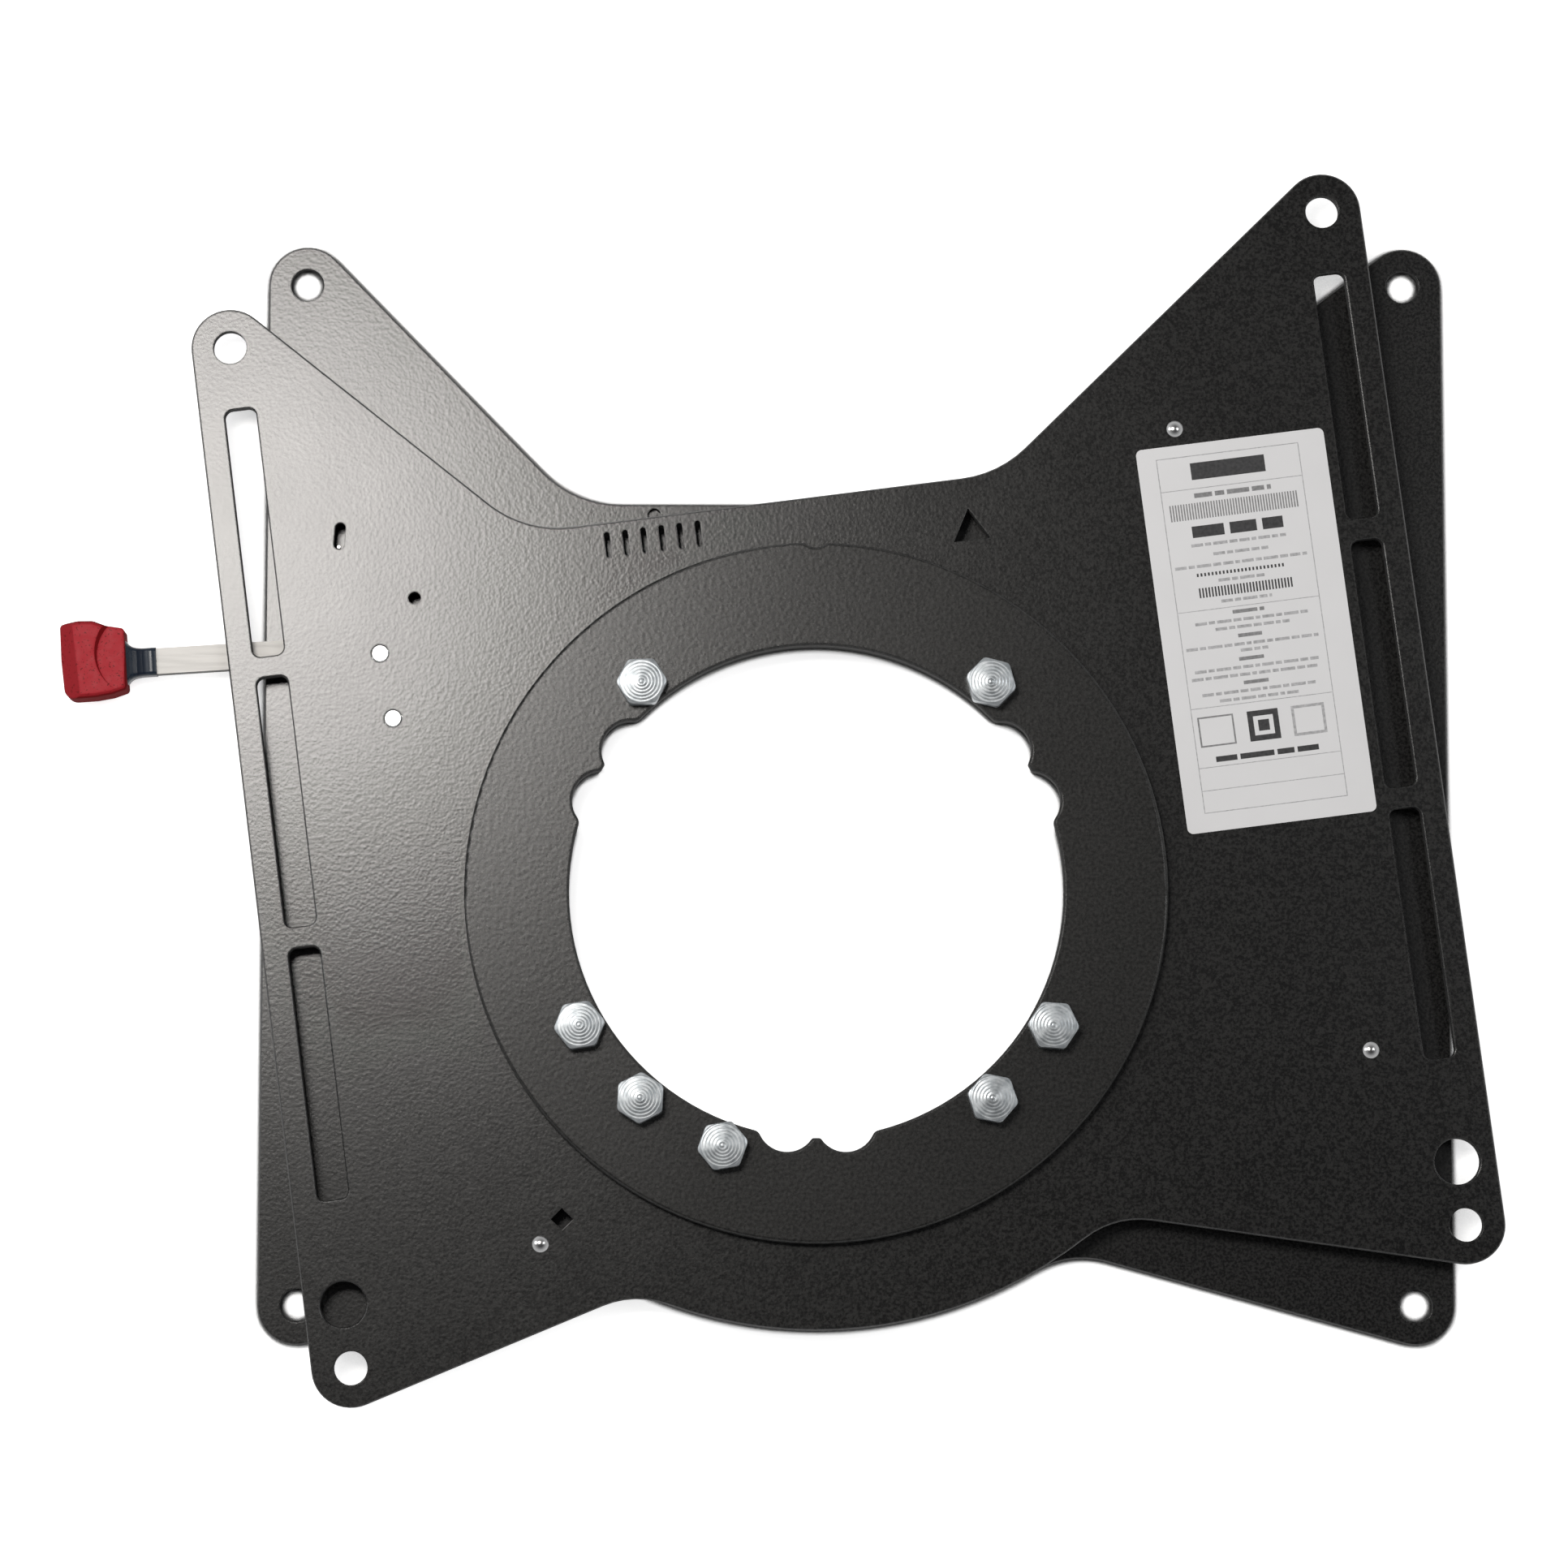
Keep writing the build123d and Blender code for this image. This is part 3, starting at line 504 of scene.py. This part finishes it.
# %% [markdown]
# ## Zinc on the bolts, rivets, spring and lever
#
# Zinc plate is a real metal surface, so the shader is metallic and its colour is what the
# metal mirrors. The rivets, the washer and the spring are clean and fully metallic. The bolt
# heads are three quarters metallic and the lever's bar only a third, because a dull grey film
# lies over their zinc and scatters light as a paint does.
#
# The heads of the ring bolts were turned on a lathe: the tool leaves fine rings round the
# middle, and these fan a lamp out into bright wedges. The trick is a bump whose height
# depends only on the distance from the bolt's own axis. A slow cone makes the wedge that
# faces the lamp the brighter one.


# %% Turned heads of the ring bolts
def length_of(tree, first, second):
    """The square root of first squared plus second squared."""
    squares = [maths(tree, "MULTIPLY", value, value) for value in (first, second)]
    return maths(tree, "SQRT", maths(tree, "ADD", *squares))


turned_face, knobs, out = new_group(
    "turned face", {"Pitch": 0.0005, "Groove": 0.00001, "Crown": 0.06}, "Height")
split = turned_face.nodes.new("ShaderNodeSeparateXYZ")
turned_face.links.new(knobs.outputs["Position"], split.inputs[0])
radius = length_of(turned_face, split.outputs["X"], split.outputs["Y"])
rings = maths(turned_face, "DIVIDE", radius, knobs.outputs["Pitch"])
ripple = maths(turned_face, "SINE", maths(turned_face, "MULTIPLY", rings, 2 * math.pi))
grooves = maths(turned_face, "MULTIPLY", ripple, knobs.outputs["Groove"])
crown = maths(turned_face, "MULTIPLY", radius, knobs.outputs["Crown"])
turned_face.links.new(maths(turned_face, "SUBTRACT", grooves, crown), out.inputs["Height"])

BOLTS = 7
for i in range(1, BOLTS + 1):
    low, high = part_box(f"ring_bolt_{i}")
    middle = (low + high) / 2
    head = Finish(f"zinc of ring bolt {i}", (0.54, 0.57, 0.59), 0.40, metallic=0.75)
    stains = head.group(clouds, Size=0.0025, Contrast=3.0)
    head.blend(stains, (0.36, 0.39, 0.41), (0.58, 0.61, 0.63))
    wear = head.group(clouds, Size=0.004, Contrast=2.5)
    head.feed("Roughness", head.between(wear, 0.30, 0.44))
    from_axis = head.moved((middle.x, middle.y, 0.0))
    turned = head.group(turned_face, from_axis, Pitch=0.0012, Groove=0.000026, Crown=0.12)
    head.bump(turned, 0.5 * MM)
    head.put_on(f"ring_bolt_{i}")
print(BOLTS, "turned heads")


# %% Clean zinc of the rivets, washer and spring
def clean_zinc(name, colour, roughness):
    """Fully metallic, with clouds that are a fifth darker."""
    metal = Finish(name, colour, roughness, metallic=1.0)
    metal.blend(metal.group(clouds, Size=0.006, Contrast=2.2), scaled(colour, 0.80), colour)
    return metal


rivet_bright = clean_zinc("bright rivet", (0.80, 0.80, 0.80), 0.22)
rivet_bright.put_on("lever_pivot", "lever_stop", "pad_rivet_1", "pad_rivet_2", "pad_rivet_3")
clean_zinc("washer zinc", (0.62, 0.62, 0.63), 0.35).put_on("pivot_washer")
clean_zinc("spring wire", (0.70, 0.70, 0.70), 0.25).put_on("lever_spring")
print("three clean zincs")

# %% Dull zinc of the lever's bar
BAR_TOP = (0.69, 0.675, 0.65)
# painted shade: where the upright sides mask is 1, the bar's walls take this far darker colour
# than its top
BAR_WALL_PAINTED_SHADE = (0.10, 0.10, 0.095)
bar_zinc = Finish("lever zinc", BAR_TOP, 0.62, metallic=0.35)
bar_zinc.blend(bar_zinc.group(sides), BAR_TOP, BAR_WALL_PAINTED_SHADE)
rubbed = bar_zinc.group(marks, Length=0.03, Thinness=22.0)
bar_zinc.feed("Roughness", bar_zinc.between(rubbed, 0.58, 0.66))
bar_zinc.put_on("lever_bar")
print("the bar is dull")

# %% [markdown]
# ## Plastics
#
# The knob is red moulded plastic, a little worn and dusty from the workshop. Dark dust sits
# in its fine grain. Its walls get the darkest painted shade and are dullest, and faces that lean
# only a little get a lighter painted shade. The collar behind it is black and shiny, and one
# crest across it catches a line of light. The slide rings and the glide pads are dark nylon,
# which is dull and slightly waxy. They are mostly hidden, but they show from the side.

# %% Knob
# the dark colour is both the dust in the grain and a painted shade on walls and leaning faces
KNOB_DUST_AND_SHADE, KNOB_RED = (0.17, 0.002, 0.004), (0.40, 0.013, 0.023)
WALL_LIMIT, LEANING_LIMIT = 0.75, 0.992

knob_red = Finish("red moulded plastic", (0.38, 0.011, 0.019), 0.50)
knob_red.set("Specular IOR Level", 0.17)
tree = knob_red.tree
# painted shade: walls get the darkest, and faces that lean a little get a lighter one
upright = knob_red.group(sides, Limit=WALL_LIMIT)
leaning = knob_red.group(sides, Limit=LEANING_LIMIT)
no_dust = span(tree, knob_red.group(speckle, Grain=0.0009, Contrast=3.0), 0.0, 0.22)
clean_and_unshaded = maths(tree, "MULTIPLY", no_dust, maths(tree, "SUBTRACT", 1.0, upright))
clean_and_unshaded = maths(tree, "MULTIPLY", clean_and_unshaded, knob_red.between(leaning, 1.0, 0.55))
knob_red.blend(clean_and_unshaded, KNOB_DUST_AND_SHADE, KNOB_RED)
tone = knob_red.between(knob_red.group(clouds, Size=0.003, Contrast=2.0), 0.42, 0.53)
dull_wall = maths(tree, "MULTIPLY", upright, 0.9)
knob_red.feed("Roughness", maths(tree, "MAXIMUM", tone, dull_wall))
knob_red.bump(knob_red.group(peel, Cell=0.0009, Depth=0.000012), 1.6 * MM)
knob_red.put_on("lever_knob")
print("the knob is red")

# %% Collar
crest, knobs, out = new_group("collar crest", {"Slope": 0.6, "Width": 0.002}, "Height")
split = crest.nodes.new("ShaderNodeSeparateXYZ")
crest.links.new(knobs.outputs["Position"], split.inputs[0])
away = length_of(crest, split.outputs["X"], knobs.outputs["Width"])
fall = maths(crest, "MULTIPLY", away, knobs.outputs["Slope"])
crest.links.new(maths(crest, "MULTIPLY", fall, -1.0), out.inputs["Height"])

CREST_FROM_KNOB_END = 2.2 * MM
CREST_TURN = math.radians(3.7)
collar_black = Finish("shiny black collar", (0.012, 0.021, 0.036), 0.25)
collar_black.set("Specular IOR Level", 0.4)
wear = collar_black.group(clouds, Size=0.005, Contrast=1.5)
collar_black.feed("Roughness", collar_black.between(wear, 0.24, 0.34))
low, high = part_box("lever_sleeve")
place = (high.x - CREST_FROM_KNOB_END, (low.y + high.y) / 2, 0.0)
collar_black.bump(collar_black.group(crest, collar_black.moved(place, CREST_TURN)))
collar_black.put_on("lever_sleeve")
print("the collar is black")

# %% Pads and slide rings
nylon = Finish("dark nylon", (0.018, 0.018, 0.018), 0.55)
nylon.blend(nylon.group(clouds, Size=0.01, Contrast=1.5), (0.014, 0.014, 0.014),
            (0.024, 0.024, 0.024))
nylon.bump(nylon.group(peel, Cell=0.0012, Depth=0.000012))
nylon.put_on("glide_pad_1", "glide_pad_2", "glide_pad_3", "lower_slide_ring",
             "upper_slide_ring")
print("five nylon pieces")

# %% [markdown]
# ## The paper label
#
# A white self-adhesive label lies on the right of the upper plate. What is printed on it here
# is plain: a ruled frame, a few fields, and rows of bars and ticks. Each print is a real
# sheet of ink, two hundredths of a millimetre thick. A flat plane is added at its size and
# place, all of one ink are joined, and the joined sheet is extruded. The plate is turned as
# shown, so each place is given in millimetres on the square plate and then turned.

# %% Paper
paper = Finish("label paper", (0.80, 0.80, 0.81), 0.42)
paper.blend(paper.group(clouds, Size=0.02, Contrast=1.2), (0.77, 0.77, 0.78), (0.82, 0.82, 0.83))
paper.bump(paper.group(peel, Cell=0.0010, Depth=0.000004))
paper.put_on("label")
print("label paper, top at", round(LABEL_TOP / MM, 2), "mm")


# %% Helpers for printing
INK = 0.02 * MM


def on_plate(x, y):
    """A place given in millimetres on the square upper plate, as it is shown."""
    c, s = math.cos(SHOWN_TURN), math.sin(SHOWN_TURN)
    return (x * c - y * s) * MM, (x * s + y * c) * MM


def field(x0, x1, y0, y1):
    """One flat printed rectangle, from corner to corner in millimetres of the square plate."""
    x, y = on_plate((x0 + x1) / 2, (y0 + y1) / 2)
    bpy.ops.mesh.primitive_plane_add(
        size=1.0, location=(x, y, LABEL_TOP), rotation=(0, 0, SHOWN_TURN))
    sheet = bpy.context.object
    sheet.scale = ((x1 - x0) * MM, (y1 - y0) * MM, 1.0)
    return sheet


def row_of_bars(x0, x1, y, height, lengths=(5.0, 2.6, 6.2, 3.4, 4.4, 2.0)):
    """Bars of different lengths in a row, as print looks from afar. The lengths are those
    of a row 1.3 millimetres high."""
    made = []
    x, i = x0, 0
    gap = 0.45 * height + 0.25
    while x < x1 - 0.8:
        end = min(x + lengths[i % len(lengths)] * height / 1.3, x1)
        made.append(field(x, end, y - height / 2, y + height / 2))
        x, i = end + gap, i + 1
    return made


def ticks(x0, x1, y0, y1, pitch):
    """A field of even upright ticks."""
    count = int(round((x1 - x0) / pitch))
    return [field(x0 + i * pitch, x0 + (i + 0.5) * pitch, y0, y1) for i in range(count)]


def outline(x0, x1, y0, y1, line):
    """Four strips round a rectangle, as wide as line."""
    return [
        field(x0, x1, y0, y0 + line),
        field(x0, x1, y1 - line, y1),
        field(x0, x0 + line, y0 + line, y1 - line),
        field(x1 - line, x1, y0 + line, y1 - line),
    ]


print("ink is", INK / MM, "mm thick")


# %% Join and thicken a print
def ink_sheet(name, sheets, ink):
    """Joins flat sheets into one piece, gives it its thickness and lays it on the label."""
    bpy.ops.object.select_all(action="DESELECT")
    for sheet in sheets:
        sheet.select_set(True)
    bpy.context.view_layer.objects.active = sheets[0]
    bpy.ops.object.transform_apply(location=True, rotation=True, scale=True)
    bpy.ops.object.join()
    piece = bpy.context.object
    piece.name = piece.data.name = name
    bpy.ops.object.transform_apply(location=True, rotation=True, scale=True)
    bpy.ops.object.mode_set(mode="EDIT")
    bpy.ops.mesh.select_all(action="SELECT")
    bpy.ops.mesh.extrude_region_move(TRANSFORM_OT_translate={"value": (0, 0, INK)})
    bpy.ops.mesh.select_all(action="SELECT")
    bpy.ops.mesh.normals_make_consistent(inside=False)
    bpy.ops.object.mode_set(mode="OBJECT")
    piece.data.materials.clear()
    piece.data.materials.append(ink.material)
    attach(piece, "turntable")
    bpy.ops.object.select_all(action="DESELECT")
    return piece


print("sheets of one ink can be joined")


# %% Inks
def printing_ink(name, colour, roughness=0.5):
    """An ink that lies a little unevenly on the paper."""
    made = Finish(name, colour, roughness)
    thick = scaled(colour, 0.8)
    thin = tuple(min(1.0, 1.35 * c + 0.02) for c in colour)
    made.blend(made.group(clouds, Size=0.0012, Contrast=2.5), thick, thin)
    return made


dark_ink = printing_ink("dark ink", (0.020, 0.020, 0.022))
grey_ink = printing_ink("worn grey ink", (0.22, 0.22, 0.225))
pale_ink = printing_ink("pale grey ink", (0.40, 0.40, 0.41))
print("three inks")

# %% Dark print
dark = [field(154.0, 181.0, 131.2, 137.4)]
dark += row_of_bars(151.5, 184.6, 112.2, 4.2, (3.6, 3.0))
dark += ticks(151.0, 185.0, 88.0, 91.6, 1.15)
dark += ticks(151.0, 184.0, 95.8, 97.0, 1.35)
dark += row_of_bars(148.8, 186.2, 29.2, 2.0, (5.0, 8.0, 4.0))
dark += outline(162.0, 173.2, 34.0, 45.0, 2.0)
dark += [field(165.6, 169.6, 37.5, 41.5)]
print(len(dark), "dark sheets")

# %% Grey print
# each row is its height on the plate, its start and its end
GREY_ROWS = (
    (81.6, 162.0, 173.5), (72.8, 162.8, 171.5), (64.3, 162.0, 172.0), (55.6, 162.5, 171.5),
)
grey = ticks(144.5, 191.5, 116.8, 122.8, 1.0)
grey += row_of_bars(154.0, 182.0, 125.4, 1.7)
for y, x0, x1 in GREY_ROWS:
    grey += row_of_bars(x0, x1, y, 1.3, (9.0,))
grey += outline(144.0, 157.0, 34.0, 45.0, 0.6)
print(len(grey), "grey sheets")

# %% Pale print
RULES = (128.0, 83.5, 48.2, 26.6, 18.3)
PALE_ROWS = (
    (107.3, 150.5, 185.0), (103.5, 158.0, 178.0), (99.6, 143.5, 192.5), (93.7, 158.5, 176.0),
    (86.0, 158.5, 177.0), (78.6, 148.0, 189.0), (76.0, 155.0, 182.0), (69.7, 143.5, 192.0),
    (67.4, 163.0, 173.0), (61.3, 145.5, 190.5), (58.6, 144.0, 191.0), (52.7, 147.0, 188.5),
    (50.0, 153.0, 182.5),
)
pale = outline(142.0, 194.0, 10.2, 140.2, 0.3)
for y in RULES:
    pale += [field(142.3, 193.7, y - 0.13, y + 0.13)]
for y, x0, x1 in PALE_ROWS:
    pale += row_of_bars(x0, x1, y, 1.1)
pale += outline(178.0, 190.0, 34.0, 45.0, 1.0)
print(len(pale), "pale sheets")

# %% Print the label
for name, sheets, ink in (
    ("label_dark_print", dark, dark_ink),
    ("label_grey_print", grey, grey_ink),
    ("label_pale_print", pale, pale_ink),
):
    made = ink_sheet(name, sheets, ink)
    print(name, len(made.data.polygons), "faces")

# %% [markdown]
# ## Size after the dressing
#
# The box of the CAD model was printed at the start. No new piece may reach outside the CAD
# model. The last line prints the box of all the pieces after the dressing, in millimetres,
# to set beside it.

# %% Sizes and finish
low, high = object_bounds()
print("visual box in mm:", [round(v / MM, 1) for v in (*low, *high)])
